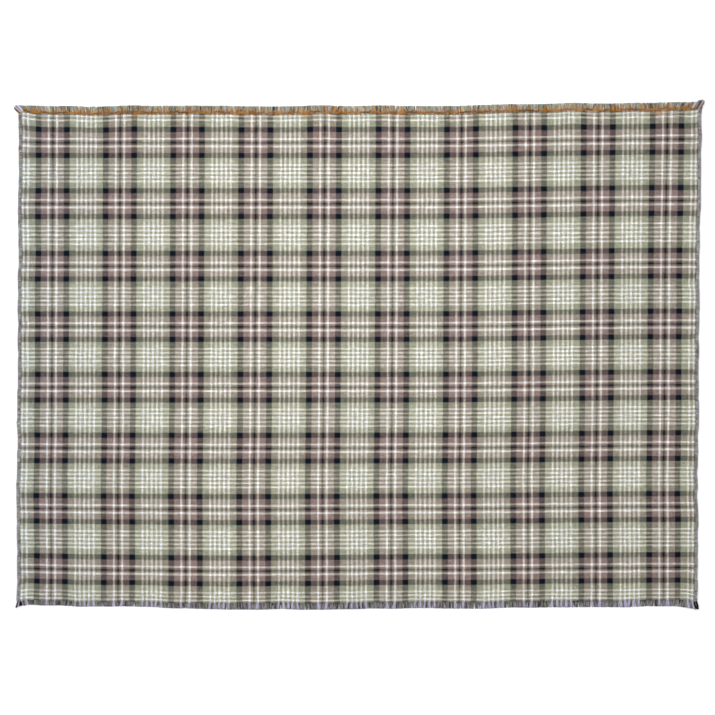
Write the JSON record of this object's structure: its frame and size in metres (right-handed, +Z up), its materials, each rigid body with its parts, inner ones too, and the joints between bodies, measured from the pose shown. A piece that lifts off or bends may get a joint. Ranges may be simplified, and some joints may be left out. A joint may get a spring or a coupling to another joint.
{
  "type": "camp blanket",
  "caption": "Rectangular woven plaid blanket lying flat, short fringes along its two long edges, overlocked short edges and yarn tufts at its corners.",
  "frame": {"origin": "middle of the blanket's outline, on the surface that it lies on", "axes": "+X along the long edges towards the right overlocked edge, +Y towards the far fringe with the ochre binding, +Z up out of the blanket's face"},
  "size_m": [1.818, 1.336, 0.0046],
  "materials": {
    "plaid_cloth": "matte",
    "white_yarn": "matte",
    "green_yarn": "matte",
    "mauve_yarn": "matte",
    "charcoal_yarn": "matte",
    "ochre_yarn": "matte",
    "grey_overlock_thread": "matte",
    "brown_needle_thread": "matte",
    "grey_lock_thread": "matte",
    "mixed_core_yarn": "matte"
  },
  "bodies": {
    "root": {"woven_panel": "plaid_cloth", "near_fringe_white_tufts": "white_yarn", "near_fringe_green_tufts": "green_yarn", "near_fringe_mauve_tufts": "mauve_yarn", "near_fringe_charcoal_tufts": "charcoal_yarn", "far_fringe_white_tufts": "white_yarn", "far_fringe_green_tufts": "green_yarn", "far_fringe_mauve_tufts": "mauve_yarn", "far_fringe_charcoal_tufts": "charcoal_yarn", "far_fringe_ochre_tufts": "ochre_yarn", "far_binding_thread": "ochre_yarn", "near_lock_thread": "grey_lock_thread", "far_lock_thread": "grey_lock_thread", "left_edge_core": "mixed_core_yarn", "left_upper_looper_thread": "grey_overlock_thread", "left_lower_looper_thread": "grey_overlock_thread", "left_needle_thread": "brown_needle_thread", "right_edge_core": "mixed_core_yarn", "right_upper_looper_thread": "grey_overlock_thread", "right_lower_looper_thread": "grey_overlock_thread", "right_needle_thread": "brown_needle_thread", "far_left_corner_tuft": "white_yarn", "far_right_corner_tuft": "mauve_yarn", "near_left_corner_tuft": "charcoal_yarn", "near_right_corner_tuft": "charcoal_yarn"}
  },
  "joints": []
}
